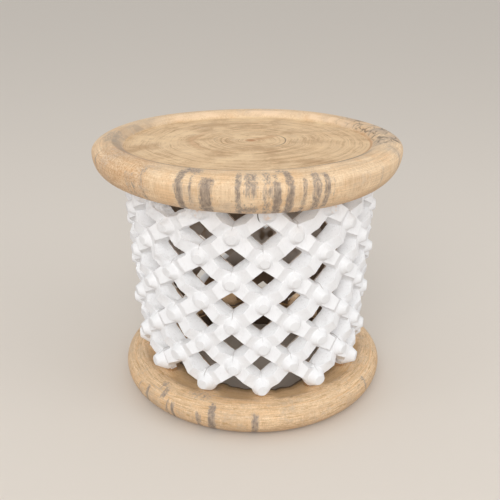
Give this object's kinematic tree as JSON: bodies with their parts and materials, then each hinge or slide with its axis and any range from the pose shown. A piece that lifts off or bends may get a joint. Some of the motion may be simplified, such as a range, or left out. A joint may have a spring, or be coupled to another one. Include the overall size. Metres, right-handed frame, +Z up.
{
  "type": "carved openwork stool",
  "caption": "Round carved wooden stool: a dished seat with a rolled rim on a white openwork drum wall of diagonal arms and blunt knobs, standing on a rounded base ring.",
  "frame": {"origin": "centre of the base ring's underside, on the floor", "axes": "+Z up along the stool's axis; a column of knobs at -Y, which faces the viewer"},
  "size_m": [0.4, 0.4, 0.345],
  "materials": {
    "seat_wood": "bare sanded pale wood with grey stain streaks, satin",
    "base_wood": "bare sanded pale wood, satin",
    "white_paint": "carved wood under chalky matte white paint"
  },
  "bodies": {
    "root": {"seat": "seat_wood", "base_ring": "base_wood", "wall_panel_01": "white_paint", "wall_panel_02": "white_paint", "wall_panel_03": "white_paint", "wall_panel_04": "white_paint", "wall_panel_05": "white_paint", "wall_panel_06": "white_paint", "wall_panel_07": "white_paint", "wall_panel_08": "white_paint", "wall_panel_09": "white_paint", "wall_panel_10": "white_paint", "wall_panel_11": "white_paint", "wall_panel_12": "white_paint"}
  },
  "joints": []
}
